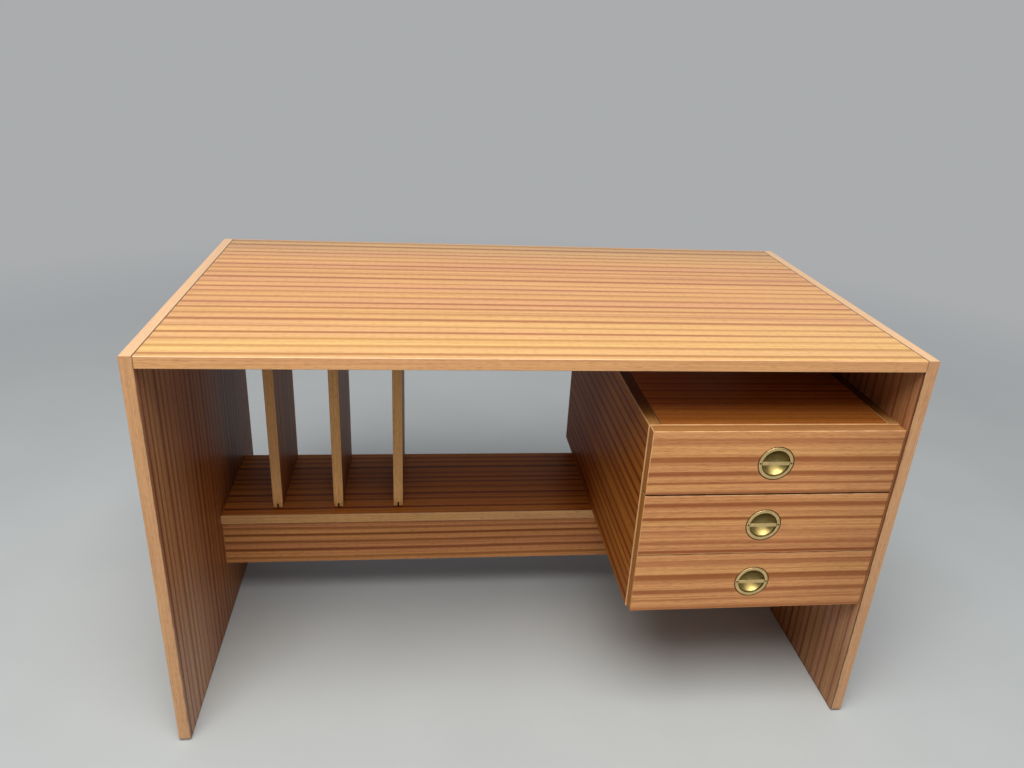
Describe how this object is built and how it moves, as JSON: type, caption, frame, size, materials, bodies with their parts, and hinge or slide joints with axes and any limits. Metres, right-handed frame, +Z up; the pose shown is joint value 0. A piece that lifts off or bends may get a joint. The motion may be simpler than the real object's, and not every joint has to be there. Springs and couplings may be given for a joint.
{
  "type": "writing desk",
  "caption": "Slab-ended veneered writing desk with an open knee space, a low shelf with upright dividers, and a case of overlay drawers with round brass cup pulls.",
  "frame": {"origin": "on the floor under the middle of the desk's footprint", "axes": "+X to the sitter's right along the desktop, +Y from the sitter to the back, +Z up"},
  "size_m": [1.21, 0.66, 0.72],
  "materials": {
    "veneer": "ribbon-striped reddish brown veneer, satin lacquer",
    "lipping": "plain tan lipping, satin lacquer",
    "drawer_wood": "pale hardwood, thin matt lacquer",
    "plywood": "thin veneered plywood, matt",
    "beech": "bare beech, waxed",
    "brass": "turned brass, lightly aged",
    "steel": "zinc-plated steel"
  },
  "bodies": {
    "desk": {"left_side_panel": "veneer", "left_side_lippings": "lipping", "right_side_panel": "veneer", "right_side_lippings": "lipping", "desktop_panel": "veneer", "desktop_lippings": "lipping", "lower_shelf": "veneer", "shelf_lippings": "lipping", "shelf_apron": "veneer", "divider_left": "veneer", "divider_middle": "veneer", "divider_right": "veneer", "divider_lippings": "lipping", "divider_tongues": "beech", "desktop_tongues": "beech", "shelf_tongues": "beech", "apron_tongues": "beech", "case_left_panel": "veneer", "case_right_panel": "veneer", "case_top_panel": "veneer", "case_bottom_panel": "veneer", "case_back_panel": "plywood", "case_left_lippings": "lipping", "case_right_lippings": "lipping", "case_cross_lippings": "lipping", "case_tongues": "beech", "left_runners": "beech", "right_runners": "beech", "runner_screws": "steel", "case_fixing_screws": "steel"},
    "drawer_bottom": {"drawer_bottom_front": "veneer", "drawer_bottom_front_lippings": "lipping", "drawer_bottom_left_side": "drawer_wood", "drawer_bottom_right_side": "drawer_wood", "drawer_bottom_back": "drawer_wood", "drawer_bottom_bottom": "plywood", "drawer_bottom_pull_cup": "brass", "drawer_bottom_pull_bar": "brass", "drawer_bottom_pull_pins": "brass"},
    "drawer_middle": {"drawer_middle_front": "veneer", "drawer_middle_front_lippings": "lipping", "drawer_middle_left_side": "drawer_wood", "drawer_middle_right_side": "drawer_wood", "drawer_middle_back": "drawer_wood", "drawer_middle_bottom": "plywood", "drawer_middle_pull_cup": "brass", "drawer_middle_pull_bar": "brass", "drawer_middle_pull_pins": "brass"},
    "drawer_top": {"drawer_top_front": "veneer", "drawer_top_front_lippings": "lipping", "drawer_top_left_side": "drawer_wood", "drawer_top_right_side": "drawer_wood", "drawer_top_back": "drawer_wood", "drawer_top_bottom": "plywood", "drawer_top_pull_cup": "brass", "drawer_top_pull_bar": "brass", "drawer_top_pull_pins": "brass"}
  },
  "joints": [
    {"name": "drawer_bottom_slide", "type": "slide", "parent": "desk", "child": "drawer_bottom", "axis": [0, -1, 0], "range_m": [0, 0.4]},
    {"name": "drawer_middle_slide", "type": "slide", "parent": "desk", "child": "drawer_middle", "axis": [0, -1, 0], "range_m": [0, 0.4]},
    {"name": "drawer_top_slide", "type": "slide", "parent": "desk", "child": "drawer_top", "axis": [0, -1, 0], "range_m": [0, 0.4]}
  ]
}
